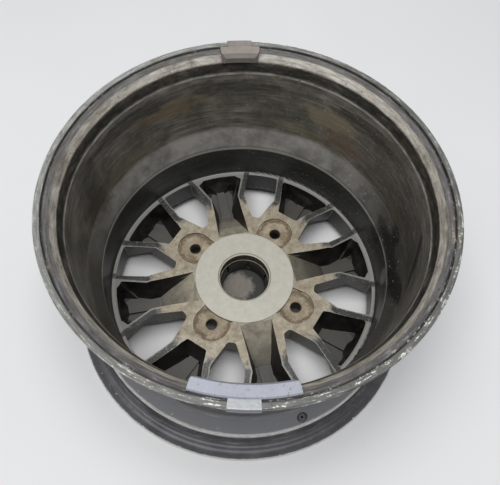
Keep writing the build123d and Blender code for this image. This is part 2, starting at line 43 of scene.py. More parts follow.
# ---- Camera, floor and light ----
# The rim lies on a pale matt workshop floor in even room light from overhead panels.
# The camera looks down into the back of the rim from about 61 degrees.
scene = bpy.context.scene
scene.view_settings.view_transform = "Standard"
camera_height = 61.19
camera_roll = 4.55
camera_data = bpy.data.cameras.new("camera")
camera_data.sensor_width = 36.0
camera_data.lens = 44.76
camera_data.shift_x = 0.0014
camera_data.shift_y = -0.0014
camera = bpy.data.objects.new("camera", camera_data)
scene.collection.objects.link(camera)
camera.matrix_world = (
    Matrix.Translation((2.28 * mm, -309.97 * mm, 646.96 * mm))
    @ Matrix.Rotation(math.radians(90.0 - camera_height), 4, "X")
    @ Matrix.Rotation(math.radians(camera_roll), 4, "Z")
)
scene.camera = camera


def linear(code):
    """Linear RGBA of an sRGB hex colour."""
    parts = [int(code[i : i + 2], 16) / 255 for i in (1, 3, 5)]
    return [p / 12.92 if p <= 0.04045 else ((p + 0.055) / 1.055) ** 2.4 for p in parts] + [1.0]


def add_node(tree, kind, inputs=None, output=0, **settings):
    """Adds a node with its settings, fills or links its inputs, and returns one of its outputs."""
    node = tree.nodes.new(kind)
    for name, value in settings.items():
        setattr(node, name, value)
    for name, value in (inputs or {}).items():
        if isinstance(value, bpy.types.NodeSocket):
            tree.links.new(value, node.inputs[name])
        else:
            node.inputs[name].default_value = value
    return node.outputs[output] if node.outputs else node


def new_finish(name, roughness=0.5, metallic=0.0):
    """A material with its tree, its shader and the place of each point in the rim's frame."""
    material = bpy.data.materials.new(name)
    material.use_nodes = True
    tree = material.node_tree
    tree.nodes.clear()
    shine = add_node(
        tree, "ShaderNodeBsdfPrincipled", {"Roughness": roughness, "Metallic": metallic}
    )
    add_node(tree, "ShaderNodeOutputMaterial", {"Surface": shine})
    place = add_node(tree, "ShaderNodeTexCoord", output="Object")
    return material, tree, shine.node, place


def apply_finish(tree, shader, tone, *reliefs):
    """Gives the surface its colour, and each relief's height with its depth and strength."""
    tree.links.new(tone, shader.inputs["Base Color"])
    normal = None
    for height, depth, strength in reliefs:
        relief = {"Height": height, "Distance": depth, "Strength": strength}
        if normal:
            relief["Normal"] = normal
        normal = add_node(tree, "ShaderNodeBump", relief)
    if normal:
        tree.links.new(normal, shader.inputs["Normal"])


# Floor paint: nearly white and dull, with faint clouds.
floor_finish, tree, shader, place = new_finish("matt_floor_paint", roughness=0.75)
cloud = add_node(tree, "ShaderNodeTexNoise", {"Vector": place, "Scale": 3.0, "Detail": 3.0})
tone = add_node(
    tree,
    "ShaderNodeMixRGB",
    {"Fac": cloud, "Color1": linear("#d8d8d8"), "Color2": linear("#e2e2e2")},
)
apply_finish(tree, shader, tone)
bpy.ops.mesh.primitive_plane_add(size=12.0, location=(0, 0, cad_low.z - 0.2 * mm))
floor = bpy.context.object
floor.name = "floor"
floor.data.materials.append(floor_finish)
floor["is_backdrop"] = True

world = bpy.data.worlds.new("room")
scene.world = world
world.use_nodes = True
world.node_tree.nodes["Background"].inputs["Color"].default_value = linear("#f4f6fa")
world.node_tree.nodes["Background"].inputs["Strength"].default_value = 0.46
lamp_data = bpy.data.lights.new("ceiling", "AREA")
lamp_data.shape = "RECTANGLE"
lamp_data.size = 1.5
lamp_data.size_y = 1.3
lamp_data.energy = 44.0
lamp = bpy.data.objects.new("ceiling", lamp_data)
lamp.location = (-0.2, -0.25, 2.3)
lamp.rotation_euler = (math.radians(6), math.radians(-5), 0)
scene.collection.objects.link(lamp)

# ---- Wheel: the casting ----
# One low-pressure aluminium casting, painted dark all over and then turned on the hub face.
# Brake dust, mud and tyre levers have stained the paint and worn it off the flanges.
wheel = nodes["wheel"]
ring_radius = 56.8 * mm
stud_circle = 68.5 * mm
stud_pitch = math.radians(90)
stud_angle = math.radians(62)
# Each window starts at a narrow tip by the hub and widens to a kink in its straight sides
window_pitch = math.radians(45)
window_angle = stud_angle - window_pitch / 2
window_tip = 81.0 * mm
window_tip_half = 4.2 * mm
window_kink = 109.0 * mm
window_kink_half = 18.4 * mm
rib_width = 8.0 * mm


def from_axle(tree, place):
    """Distance of each point from the axle line."""
    flat = add_node(tree, "ShaderNodeVectorMath", {0: place, 1: (1, 1, 0)}, operation="MULTIPLY")
    return add_node(tree, "ShaderNodeVectorMath", {0: flat}, "Value", operation="LENGTH")


def toward(tree, place, way, reach):
    """How far each point lies this way across the rim, as a share of the reach."""
    step = (way[0] / reach, way[1] / reach, 0)
    return add_node(tree, "ShaderNodeVectorMath", {0: place, 1: step}, "Value", operation="DOT_PRODUCT")


def folded(angle, pitch):
    """The angle from the nearest of the places that lie one pitch apart."""
    return (angle + pitch / 2) % pitch - pitch / 2


# Turned aluminium: pale cream with fine circular tool marks, tanned and flecked where brake dust stays.
# Out along the ribs it ends raggedly in worn charcoal paint, rubbed grey along both edges of each rib.
turned_alloy, tree, shader, place = new_finish("turned_cast_aluminium_into_worn_paint", 0.5, 0.2)
split = add_node(tree, "ShaderNodeSeparateXYZ", {0: place}).node
radius = from_axle(tree, place)
# Tool marks are 0.1 mm apart in life and drawn 1 mm apart to show
marks = add_node(
    tree,
    "ShaderNodeTexNoise",
    {"W": radius, "Scale": 1 / (1 * mm), "Detail": 2.0},
    noise_dimensions="1D",
)
stain = add_node(
    tree,
    "ShaderNodeTexNoise",
    {"Vector": place, "Scale": 1 / (11 * mm), "Detail": 8.0, "Roughness": 0.72},
)
fleck = add_node(tree, "ShaderNodeTexNoise", {"Vector": place, "Scale": 1 / (2.4 * mm), "Detail": 3.0})
on_spider = add_node(
    tree,
    "ShaderNodeMapRange",
    {"Value": radius, "From Min": ring_radius - 0.4 * mm, "From Max": ring_radius + 0.4 * mm},
)
clean = add_node(
    tree,
    "ShaderNodeMixRGB",
    {"Fac": on_spider, "Color1": linear("#bdbaaf"), "Color2": linear("#aba290")},
)
dirty = add_node(
    tree,
    "ShaderNodeMixRGB",
    {"Fac": on_spider, "Color1": linear("#adaa9e"), "Color2": linear("#726550")},
)
stain_share = add_node(tree, "ShaderNodeMapRange", {"Value": stain, "From Min": 0.36, "From Max": 0.72})
tone = add_node(tree, "ShaderNodeMixRGB", {"Fac": stain_share, "Color1": clean, "Color2": dirty})
lined = add_node(tree, "ShaderNodeMapRange", {"Value": marks, "To Min": 0.9, "To Max": 1.06})
tone = add_node(
    tree, "ShaderNodeMixRGB", {"Fac": 1.0, "Color1": tone, "Color2": lined}, blend_type="MULTIPLY"
)
fleck_share = add_node(
    tree, "ShaderNodeMapRange", {"Value": fleck, "From Min": 0.6, "From Max": 0.7, "To Max": 0.6}
)
fleck_share = add_node(tree, "ShaderNodeMath", {0: fleck_share, 1: on_spider}, operation="MULTIPLY")
tone = add_node(
    tree, "ShaderNodeMixRGB", {"Fac": fleck_share, "Color1": tone, "Color2": linear("#655845")}
)
# Paint on the outer half of the ribs and on the ledge, speckled where it is worn
paint = add_node(
    tree,
    "ShaderNodeMixRGB",
    {"Fac": stain_share, "Color1": linear("#4b4a49"), "Color2": linear("#2d2c2b")},
)
rubbed = add_node(
    tree, "ShaderNodeMapRange", {"Value": fleck, "From Min": 0.58, "From Max": 0.7, "To Max": 0.65}
)
paint = add_node(
    tree, "ShaderNodeMixRGB", {"Fac": rubbed, "Color1": paint, "Color2": linear("#8b8984")}
)
# Each rib runs beside a window, so its edges are found from the window's own straight sides
turn = add_node(
    tree, "ShaderNodeMath", {0: split.outputs["Y"], 1: split.outputs["X"]}, operation="ARCTAN2"
)
turn = add_node(tree, "ShaderNodeMath", {0: turn, 1: window_angle}, operation="SUBTRACT")
turn = add_node(
    tree, "ShaderNodeMath", {0: turn, 1: window_pitch / 2, 2: -window_pitch / 2}, operation="WRAP"
)
along = add_node(tree, "ShaderNodeMath", {0: turn}, operation="COSINE")
along = add_node(tree, "ShaderNodeMath", {0: along, 1: radius}, operation="MULTIPLY")
beside = add_node(tree, "ShaderNodeMath", {0: turn}, operation="SINE")
beside = add_node(tree, "ShaderNodeMath", {0: beside, 1: radius}, operation="MULTIPLY")
beside = add_node(tree, "ShaderNodeMath", {0: beside}, operation="ABSOLUTE")
half = add_node(
    tree,
    "ShaderNodeMapRange",
    {
        "Value": along,
        "From Min": window_tip,
        "From Max": window_kink,
        "To Min": window_tip_half,
        "To Max": window_kink_half,
    },
)
from_middle = add_node(tree, "ShaderNodeMath", {0: beside, 1: half}, operation="SUBTRACT")
from_middle = add_node(tree, "ShaderNodeMath", {0: from_middle, 1: rib_width / 2}, operation="SUBTRACT")
from_middle = add_node(tree, "ShaderNodeMath", {0: from_middle}, operation="ABSOLUTE")
from_middle = add_node(
    tree, "ShaderNodeMath", {0: fleck, 1: 2.4 * mm, 2: from_middle}, operation="MULTIPLY_ADD"
)
edge_share = add_node(
    tree,
    "ShaderNodeMapRange",
    {"Value": from_middle, "From Min": 3.9 * mm, "From Max": 5.0 * mm, "To Max": 0.75},
)
paint = add_node(
    tree, "ShaderNodeMixRGB", {"Fac": edge_share, "Color1": paint, "Color2": linear("#9b9993")}
)
ragged = add_node(
    tree, "ShaderNodeMath", {0: stain, 1: 40 * mm, 2: radius}, operation="MULTIPLY_ADD"
)
painted = add_node(
    tree, "ShaderNodeMapRange", {"Value": ragged, "From Min": 118 * mm, "From Max": 130 * mm}
)
tone = add_node(tree, "ShaderNodeMixRGB", {"Fac": painted, "Color1": tone, "Color2": paint})
apply_finish(tree, shader, tone, (marks, 0.05 * mm, 0.5), (fleck, 0.25 * mm, 0.35))

# Bare casting in the stud pads: tan and speckled, with rust washed out from the studs to a ragged edge.
# Brake dust has bonded to the open grain, so it is dull.
pad_alloy, tree, shader, place = new_finish("rust_stained_cast_aluminium", 0.75)
split = add_node(tree, "ShaderNodeSeparateXYZ", {0: place}).node
turn = add_node(
    tree, "ShaderNodeMath", {0: split.outputs["Y"], 1: split.outputs["X"]}, operation="ARCTAN2"
)
turn = add_node(tree, "ShaderNodeMath", {0: turn, 1: stud_angle}, operation="SUBTRACT")
turn = add_node(
    tree, "ShaderNodeMath", {0: turn, 1: stud_pitch / 2, 2: -stud_pitch / 2}, operation="WRAP"
)
turn = add_node(tree, "ShaderNodeMath", {0: turn}, operation="COSINE")
radius = from_axle(tree, place)
cross = add_node(tree, "ShaderNodeMath", {0: radius, 1: turn}, operation="MULTIPLY")
cross = add_node(
    tree, "ShaderNodeMath", {0: cross, 1: -2 * stud_circle, 2: stud_circle**2}, operation="MULTIPLY_ADD"
)
square = add_node(tree, "ShaderNodeMath", {0: radius, 1: radius, 2: cross}, operation="MULTIPLY_ADD")
from_stud = add_node(tree, "ShaderNodeMath", {0: square}, operation="SQRT")
stain = add_node(
    tree,
    "ShaderNodeTexNoise",
    {"Vector": place, "Scale": 1 / (13 * mm), "Detail": 8.0, "Roughness": 0.75},
)
grain = add_node(tree, "ShaderNodeTexNoise", {"Vector": place, "Scale": 1 / (1.8 * mm), "Detail": 4.0})
stain_share = add_node(tree, "ShaderNodeMapRange", {"Value": stain, "From Min": 0.35, "From Max": 0.65})
tone = add_node(
    tree,
    "ShaderNodeMixRGB",
    {"Fac": stain_share, "Color1": linear("#aa9e89"), "Color2": linear("#796b55")},
)
speckle = add_node(
    tree, "ShaderNodeMapRange", {"Value": grain, "From Min": 0.56, "From Max": 0.68, "To Max": 0.6}
)
tone = add_node(tree, "ShaderNodeMixRGB", {"Fac": speckle, "Color1": tone, "Color2": linear("#6c5b44")})
# The rust's edge wanders by several millimetres and stays thin
edge = add_node(tree, "ShaderNodeMath", {0: stain, 1: 22 * mm, 2: from_stud}, operation="MULTIPLY_ADD")
edge_share = add_node(
    tree,
    "ShaderNodeMapRange",
    {"Value": edge, "From Min": 25.0 * mm, "From Max": 29.5 * mm, "To Max": 0.85},
)
tone = add_node(
    tree, "ShaderNodeMixRGB", {"Fac": edge_share, "Color1": tone, "Color2": linear("#5c4a35")}
)
spill_share = add_node(
    tree,
    "ShaderNodeMapRange",
    {"Value": edge, "From Min": 30.5 * mm, "From Max": 33.0 * mm, "To Max": 0.8},
)
tone = add_node(
    tree, "ShaderNodeMixRGB", {"Fac": spill_share, "Color1": tone, "Color2": linear("#a39987")}
)
hole_edge = add_node(
    tree, "ShaderNodeMath", {0: grain, 1: 2 * mm, 2: from_stud}, operation="MULTIPLY_ADD"
)
hole_share = add_node(
    tree,
    "ShaderNodeMapRange",
    {"Value": hole_edge, "From Min": 7.2 * mm, "From Max": 8.6 * mm, "To Min": 0.85, "To Max": 0.0},
)
tone = add_node(
    tree, "ShaderNodeMixRGB", {"Fac": hole_share, "Color1": tone, "Color2": linear("#352b1f")}
)
apply_finish(tree, shader, tone, (grain, 0.35 * mm, 0.6))

# Oxidised turned bore: dark grey-brown, with a pale line left on its chamfer.
bore_alloy, tree, shader, place = new_finish("oxidised_turned_aluminium", 0.55, 0.2)
height = add_node(tree, "ShaderNodeSeparateXYZ", {0: place}, "Z")
stain = add_node(tree, "ShaderNodeTexNoise", {"Vector": place, "Scale": 1 / (6 * mm), "Detail": 5.0})
tone = add_node(
    tree, "ShaderNodeMixRGB", {"Fac": stain, "Color1": linear("#5a564b"), "Color2": linear("#322f29")}
)
pale = add_node(
    tree, "ShaderNodeMapRange", {"Value": height, "From Min": -2.4 * mm, "From Max": -1.9 * mm}
)
tone = add_node(tree, "ShaderNodeMixRGB", {"Fac": pale, "Color1": tone, "Color2": linear("#cfc9b8")})
edge = add_node(
    tree,
    "ShaderNodeMapRange",
    {"Value": height, "From Min": -0.7 * mm, "From Max": -0.4 * mm, "To Max": 0.8},
)
tone = add_node(tree, "ShaderNodeMixRGB", {"Fac": edge, "Color1": tone, "Color2": linear("#57523f")})
marks = add_node(
    tree,
    "ShaderNodeTexNoise",
    {"W": height, "Scale": 1 / (0.8 * mm), "Detail": 1.0},
    noise_dimensions="1D",
)
apply_finish(tree, shader, tone, (marks, 0.05 * mm, 0.5))

# As-cast ramps and ridges behind the spokes: paint over an open sand grain, under a coat of pale dust.
# The dust is thickest by the hub and thins out to nearly bare paint on the ridges.
cast_paint, tree, shader, place = new_finish("dusty_paint_on_sand_casting", 0.6)
stain = add_node(
    tree,
    "ShaderNodeTexNoise",
    {"Vector": place, "Scale": 1 / (15 * mm), "Detail": 7.0, "Roughness": 0.7},
)
grain = add_node(tree, "ShaderNodeTexNoise", {"Vector": place, "Scale": 1 / (1.5 * mm), "Detail": 4.0})
radius = from_axle(tree, place)
near_hub = add_node(
    tree,
    "ShaderNodeMapRange",
    {"Value": radius, "From Min": 62 * mm, "From Max": 97 * mm, "To Min": 1.0, "To Max": 0.0},
)
tone = add_node(
    tree,
    "ShaderNodeMixRGB",
    {"Fac": near_hub, "Color1": linear("#6c6860"), "Color2": linear("#a59e8c")},
)
on_ridge = add_node(
    tree, "ShaderNodeMapRange", {"Value": radius, "From Min": 97 * mm, "From Max": 101 * mm}
)
tone = add_node(
    tree, "ShaderNodeMixRGB", {"Fac": on_ridge, "Color1": tone, "Color2": linear("#4d4b48")}
)
dust_and_painted_light = add_node(
    tree, "ShaderNodeMapRange", {"Value": stain, "From Min": 0.4, "From Max": 0.66, "To Max": 0.6}
)
tone = add_node(tree, "ShaderNodeMixRGB", {"Fac": dust_and_painted_light, "Color1": tone, "Color2": linear("#464137")})
# Painted shade: toward the right the castings are painted darker, on the side away from the light
facing = toward(tree, place, (1, 0.35), 100 * mm)
right_shade_share = add_node(
    tree, "ShaderNodeMapRange", {"Value": facing, "From Min": 0.1, "From Max": 0.9, "To Max": 0.7}
)
tone = add_node(
    tree, "ShaderNodeMixRGB", {"Fac": right_shade_share, "Color1": tone, "Color2": linear("#38352e")}
)
apply_finish(tree, shader, tone, (grain, 0.5 * mm, 0.6))

# Paint in the hollows: near black and satin, so its folds catch the light. Its near black is darker than
# the same paint on the ribs, as painted shade.
shaded_hollow_paint, tree, shader, place = new_finish("satin_dark_paint_with_painted_shade", 0.32)
stain = add_node(
    tree,
    "ShaderNodeTexNoise",
    {"Vector": place, "Scale": 1 / (14 * mm), "Detail": 7.0, "Roughness": 0.65},
)
grain = add_node(tree, "ShaderNodeTexNoise", {"Vector": place, "Scale": 1 / (2.5 * mm), "Detail": 3.0})
stain_share = add_node(tree, "ShaderNodeMapRange", {"Value": stain, "From Min": 0.45, "From Max": 0.75})
tone = add_node(
    tree,
    "ShaderNodeMixRGB",
    {"Fac": stain_share, "Color1": linear("#111111"), "Color2": linear("#312e27")},
)
dull = add_node(tree, "ShaderNodeMapRange", {"Value": stain, "To Min": 0.22, "To Max": 0.6})
tree.links.new(dull, shader.inputs["Roughness"])
apply_finish(tree, shader, tone, (grain, 0.4 * mm, 0.5))

# Walls of the windows: charcoal paint greyed by stones, worn through to tan casting at the inner tips.
window_paint, tree, shader, place = new_finish("chipped_charcoal_paint", 0.5)
stain = add_node(
    tree,
    "ShaderNodeTexNoise",
    {"Vector": place, "Scale": 1 / (9 * mm), "Detail": 7.0, "Roughness": 0.7},
)
grain = add_node(tree, "ShaderNodeTexNoise", {"Vector": place, "Scale": 1 / (2 * mm), "Detail": 3.0})
stain_share = add_node(tree, "ShaderNodeMapRange", {"Value": stain, "From Min": 0.35, "From Max": 0.65})
tone = add_node(
    tree,
    "ShaderNodeMixRGB",
    {"Fac": stain_share, "Color1": linear("#5c5b59"), "Color2": linear("#343331")},
)
radius = from_axle(tree, place)
ragged = add_node(tree, "ShaderNodeMath", {0: stain, 1: 30 * mm, 2: radius}, operation="MULTIPLY_ADD")
bare = add_node(
    tree,
    "ShaderNodeMapRange",
    {"Value": ragged, "From Min": 103 * mm, "From Max": 122 * mm, "To Min": 0.85, "To Max": 0.0},
)
tone = add_node(tree, "ShaderNodeMixRGB", {"Fac": bare, "Color1": tone, "Color2": linear("#6d6453")})
rubbed = add_node(
    tree, "ShaderNodeMapRange", {"Value": grain, "From Min": 0.6, "From Max": 0.72, "To Max": 0.5}
)
tone = add_node(tree, "ShaderNodeMixRGB", {"Fac": rubbed, "Color1": tone, "Color2": linear("#8a8883")})
apply_finish(tree, shader, tone, (grain, 0.3 * mm, 0.5))

# Inner wall of the barrel: satin dark paint, rubbed in rings, under brake dust and ragged mud patches.
# The sloping side of the well is painted greyer as a painted reflection, with a painted highlight at its
# foot, painted shade on the band below it and wet black runs at the right.
barrel_paint, tree, shader, place = new_finish("satin_paint_under_brake_dust_and_painted_light", 0.4)
split = add_node(tree, "ShaderNodeSeparateXYZ", {0: place}).node
height = split.outputs["Z"]
# Zero is on the far side and the join on the near side, in radians round the rim
turn = add_node(
    tree, "ShaderNodeMath", {0: split.outputs["X"], 1: split.outputs["Y"]}, operation="ARCTAN2"
)
# Rubbing marks are drawn out round the rim and runs along its axle
round_place = add_node(tree, "ShaderNodeVectorMath", {0: place, 1: (0.1, 0.1, 1)}, operation="MULTIPLY")
streak = add_node(
    tree,
    "ShaderNodeTexNoise",
    {"Vector": round_place, "Scale": 1 / (3 * mm), "Detail": 7.0, "Roughness": 0.7},
)
run_place = add_node(tree, "ShaderNodeVectorMath", {0: place, 1: (1, 1, 0.1)}, operation="MULTIPLY")
runs = add_node(
    tree,
    "ShaderNodeTexNoise",
    {"Vector": run_place, "Scale": 1 / (4 * mm), "Detail": 5.0, "Roughness": 0.6},
)
cloud = add_node(
    tree,
    "ShaderNodeTexNoise",
    {"Vector": place, "Scale": 1 / (40 * mm), "Detail": 9.0, "Roughness": 0.68},
)
speck = add_node(tree, "ShaderNodeTexNoise", {"Vector": place, "Scale": 1 / (2.2 * mm), "Detail": 2.0})
streak_share = add_node(
    tree, "ShaderNodeMapRange", {"Value": streak, "From Min": 0.34, "From Max": 0.7}
)
wall = add_node(
    tree,
    "ShaderNodeMixRGB",
    {"Fac": streak_share, "Color1": linear("#44423e"), "Color2": linear("#958f85")},
)
cloud_share = add_node(
    tree, "ShaderNodeMapRange", {"Value": cloud, "From Min": 0.42, "From Max": 0.62, "To Max": 0.85}
)
wall = add_node(
    tree, "ShaderNodeMixRGB", {"Fac": cloud_share, "Color1": wall, "Color2": linear("#48463d")}
)
run_share = add_node(
    tree, "ShaderNodeMapRange", {"Value": runs, "From Min": 0.58, "From Max": 0.74, "To Max": 0.5}
)
wall = add_node(
    tree, "ShaderNodeMixRGB", {"Fac": run_share, "Color1": wall, "Color2": linear("#7b776c")}
)
# The slope of the well, painted greyer as a painted reflection, then the band down to the ledge, painted
# near black as painted shade, with a painted highlight line between them
sheen_slope_share = add_node(
    tree, "ShaderNodeMapRange", {"Value": height, "From Min": 66 * mm, "From Max": 60 * mm}
)
slope = add_node(
    tree,
    "ShaderNodeMixRGB",
    {"Fac": cloud_share, "Color1": linear("#8b8883"), "Color2": linear("#5a5853")},
)
# Painted light: the slope is painted palest at the far side, and both sides are painted darker as painted
# shade
facing = toward(tree, place, (-0.2, 1), 165 * mm)
painted_side_light_share = add_node(
    tree, "ShaderNodeMapRange", {"Value": facing, "From Min": 0.8, "From Max": 0.0, "To Max": 0.85}
)
slope = add_node(
    tree, "ShaderNodeMixRGB", {"Fac": painted_side_light_share, "Color1": slope, "Color2": linear("#2a2925")}
)
wall = add_node(tree, "ShaderNodeMixRGB", {"Fac": sheen_slope_share, "Color1": wall, "Color2": slope})
# Painted shade: the band below the slope, down to the ledge, is painted near black
ragged = add_node(tree, "ShaderNodeMath", {0: streak, 1: 3 * mm, 2: height}, operation="MULTIPLY_ADD")
low_shade_share = add_node(
    tree, "ShaderNodeMapRange", {"Value": ragged, "From Min": 38.5 * mm, "From Max": 36.0 * mm}
)
low = add_node(
    tree,
    "ShaderNodeMixRGB",
    {"Fac": streak_share, "Color1": linear("#1c1d1a"), "Color2": linear("#3c3c37")},
)
low = add_node(
    tree, "ShaderNodeMixRGB", {"Fac": painted_side_light_share, "Color1": low, "Color2": linear("#2f2e2a")}
)
wall = add_node(tree, "ShaderNodeMixRGB", {"Fac": low_shade_share, "Color1": wall, "Color2": low})
# Painted highlight: a pale line along the foot of the slope
from_highlight_line = add_node(tree, "ShaderNodeMath", {0: ragged, 1: 38.8 * mm}, operation="SUBTRACT")
from_highlight_line = add_node(tree, "ShaderNodeMath", {0: from_highlight_line}, operation="ABSOLUTE")
highlight_line_share = add_node(
    tree,
    "ShaderNodeMapRange",
    {"Value": from_highlight_line, "From Min": 2.8 * mm, "From Max": 1.2 * mm, "To Max": 0.9},
)
wall = add_node(
    tree, "ShaderNodeMixRGB", {"Fac": highlight_line_share, "Color1": wall, "Color2": linear("#aeaba4")}
)
# Patches of mud, dust and wet black, darker patches at both sides, and painted shade along the top of the
# far wall:
# where each lies round the rim and its half width, in degrees, its height and half height in mm, its lean
# in mm a degree, its raggedness, its colour and how much it covers
for middle, width, z, tall, lean, rough, colour, cover in (
    (62, 11, 108, 13, 0.0, 5.0, "#857961", 0.7),
    (53, 9, 84, 11, 0.0, 5.0, "#654f3b", 0.65),
    (77, 13, 76, 8, 0.0, 5.0, "#726c52", 0.55),
    (119, 9, 114, 13, 0.0, 5.0, "#74634b", 0.7),
    (133, 7, 114, 10, 0.0, 5.0, "#6a5b45", 0.65),
    (150, 13, 78, 12, 0.0, 5.0, "#67614c", 0.6),
    (167, 10, 84, 17, 0.0, 5.0, "#554533", 0.65),
    (18, 9, 74, 10, 0.0, 5.0, "#665842", 0.6),
    # Painted shade: dark bands along the top of the far wall, beneath the flange
    (97, 16, 128, 9, 0.0, 5.0, "#2c2b28", 0.8),
    (40, 16, 128, 9, 0.0, 5.0, "#2a2927", 0.8),
    (140, 18, 131, 8, 0.0, 5.0, "#2b2a28", 0.8),
    # A darker patch on the left side
    (168, 7, 100, 40, 0.0, 5.0, "#262521", 0.6),
    (1, 3, 27, 17, 0.9, 3.0, "#7f7f7d", 0.7),
    # A broad darker patch over the right side
    (6, 30, 84, 42, 0.0, 3.0, "#1d1c19", 0.6),
    (8, 15, 48, 9, 0.0, 2.5, "#0b0c0a", 1.0),
    (-9, 10, 56, 9, -1.2, 2.5, "#0b0c0a", 1.0),
    (12, 5, 61, 7, 0.8, 2.0, "#10110f", 1.0),
    (-7, 7, 102, 8, 2.6, 2.5, "#0e0f0d", 1.0),
    (20, 5, 30, 9, 0.0, 2.5, "#10110f", 0.9),
):
    across = add_node(
        tree,
        "ShaderNodeMath",
        {0: turn, 1: 1 / math.radians(width), 2: -math.radians(90 - middle) / math.radians(width)},
        operation="MULTIPLY_ADD",
    )
    upright = add_node(
        tree, "ShaderNodeMath", {0: height, 1: 1 / (tall * mm), 2: -z / tall}, operation="MULTIPLY_ADD"
    )
    upright = add_node(
        tree,
        "ShaderNodeMath",
        {0: across, 1: lean * width / tall, 2: upright},
        operation="MULTIPLY_ADD",
    )
    apart = add_node(tree, "ShaderNodeCombineXYZ", {"X": across, "Y": upright})
    apart = add_node(tree, "ShaderNodeVectorMath", {0: apart}, "Value", operation="LENGTH")
    apart = add_node(tree, "ShaderNodeMath", {0: cloud, 1: rough, 2: apart}, operation="MULTIPLY_ADD")
    share = add_node(
        tree,
        "ShaderNodeMapRange",
        {"Value": apart, "From Min": rough / 2 + 1.2, "From Max": rough / 2 + 0.7, "To Max": cover},
    )
    patch = add_node(
        tree, "ShaderNodeMixRGB", {"Fac": streak_share, "Color1": linear(colour), "Color2": wall}
    )
    patch = add_node(tree, "ShaderNodeMixRGB", {"Fac": 0.65, "Color1": patch, "Color2": linear(colour)})
    wall = add_node(tree, "ShaderNodeMixRGB", {"Fac": share, "Color1": wall, "Color2": patch})
# Light specks of dried mud, thickest on the right of the barrel
way = (math.cos(math.radians(35)), math.sin(math.radians(35)))
facing = toward(tree, place, way, 165 * mm)
speckled = add_node(
    tree,
    "ShaderNodeMapRange",
    {"Value": facing, "From Min": -0.3, "From Max": 1.0, "To Min": 0.745, "To Max": 0.68},
)
over = add_node(tree, "ShaderNodeMath", {0: speck, 1: speckled}, operation="SUBTRACT")
speck_share = add_node(
    tree, "ShaderNodeMapRange", {"Value": over, "From Min": 0.0, "From Max": 0.03, "To Max": 0.8}
)
wall = add_node(
    tree, "ShaderNodeMixRGB", {"Fac": speck_share, "Color1": wall, "Color2": linear("#aca79a")}
)
dull = add_node(tree, "ShaderNodeMapRange", {"Value": cloud, "To Min": 0.3, "To Max": 0.62})
tree.links.new(dull, shader.inputs["Roughness"])
apply_finish(tree, shader, wall, (streak, 0.25 * mm, 0.4), (speck, 0.3 * mm, 0.25))

# Back of the inboard flange: turned steps whose paint the tyre machine has rubbed through in rings.
# Bare rings are pale, lined and chipped, painted ones dark, and brown dirt stays between them.
flange_alloy, tree, shader, place = new_finish("worn_paint_on_turned_aluminium", 0.45, 0.15)
flat = add_node(tree, "ShaderNodeVectorMath", {0: place, 1: (1, 1, 0)}, operation="MULTIPLY")
radius = from_axle(tree, place)
# Wear is drawn out round the rim, and so shows as broken rings
round_place = add_node(
    tree, "ShaderNodeVectorMath", {0: flat, 1: (0.09, 0.09, 0)}, operation="MULTIPLY"
)
round_place = add_node(tree, "ShaderNodeSeparateXYZ", {0: round_place}).node
round_place = add_node(
    tree,
    "ShaderNodeCombineXYZ",
    {"X": round_place.outputs["X"], "Y": round_place.outputs["Y"], "Z": radius},
)
rings = add_node(
    tree,
    "ShaderNodeTexNoise",
    {"Vector": round_place, "Scale": 1 / (1.6 * mm), "Detail": 6.0, "Roughness": 0.65},
)
cloud = add_node(
    tree,
    "ShaderNodeTexNoise",
    {"Vector": place, "Scale": 1 / (34 * mm), "Detail": 7.0, "Roughness": 0.68},
)
chip = add_node(
    tree,
    "ShaderNodeTexNoise",
    {"Vector": place, "Scale": 1 / (4 * mm), "Detail": 6.0, "Roughness": 0.75},
)
ring_share = add_node(tree, "ShaderNodeMapRange", {"Value": rings, "From Min": 0.35, "From Max": 0.65})
tone = add_node(
    tree,
    "ShaderNodeMixRGB",
    {"Fac": ring_share, "Color1": linear("#24231f"), "Color2": linear("#3c3a35")},
)
# Each ring by its inner and outer radius in mm, its colour, how much of the paint below it covers
# and how far its edges wander
for inner, outer, colour, cover, wander in (
    (171.4, 172.5, "#a3a099", 0.9, 0.5),
    (176.2, 181.0, "#b5afa3", 0.92, 1.2),
    (181.0, 186.8, "#636160", 0.85, 1.0),
    (186.8, 188.7, "#353431", 0.85, 0.8),
    (189.0, 195.5, "#7b7b77", 0.92, 1.2),
):
    away = add_node(
        tree, "ShaderNodeMath", {0: radius, 1: (inner + outer) / 2 * mm}, operation="SUBTRACT"
    )
    away = add_node(tree, "ShaderNodeMath", {0: away}, operation="ABSOLUTE")
    away = add_node(
        tree, "ShaderNodeMath", {0: chip, 1: wander * mm, 2: away}, operation="MULTIPLY_ADD"
    )
    half = (outer - inner + wander) / 2 * mm
    share = add_node(
        tree,
        "ShaderNodeMapRange",
        {"Value": away, "From Min": half + 0.35 * mm, "From Max": half - 0.35 * mm, "To Max": cover},
    )
    worn = add_node(
        tree, "ShaderNodeMixRGB", {"Fac": ring_share, "Color1": tone, "Color2": linear(colour)}
    )
    worn = add_node(tree, "ShaderNodeMixRGB", {"Fac": 0.72, "Color1": worn, "Color2": linear(colour)})
    tone = add_node(tree, "ShaderNodeMixRGB", {"Fac": share, "Color1": tone, "Color2": worn})
# Painted highlight: the lip is painted paler on the far left, where the light catches it
facing = toward(tree, place, (-0.75, 0.66), 190 * mm)
far_left_highlight = add_node(
    tree, "ShaderNodeMapRange", {"Value": facing, "From Min": 0.0, "From Max": 1.0, "To Max": 0.56}
)
on_lip = add_node(
    tree, "ShaderNodeMapRange", {"Value": radius, "From Min": 188 * mm, "From Max": 189.5 * mm}
)
far_left_highlight = add_node(tree, "ShaderNodeMath", {0: far_left_highlight, 1: on_lip}, operation="MULTIPLY")
tone = add_node(
    tree, "ShaderNodeMixRGB", {"Fac": far_left_highlight, "Color1": tone, "Color2": linear("#b9bab5")}
)
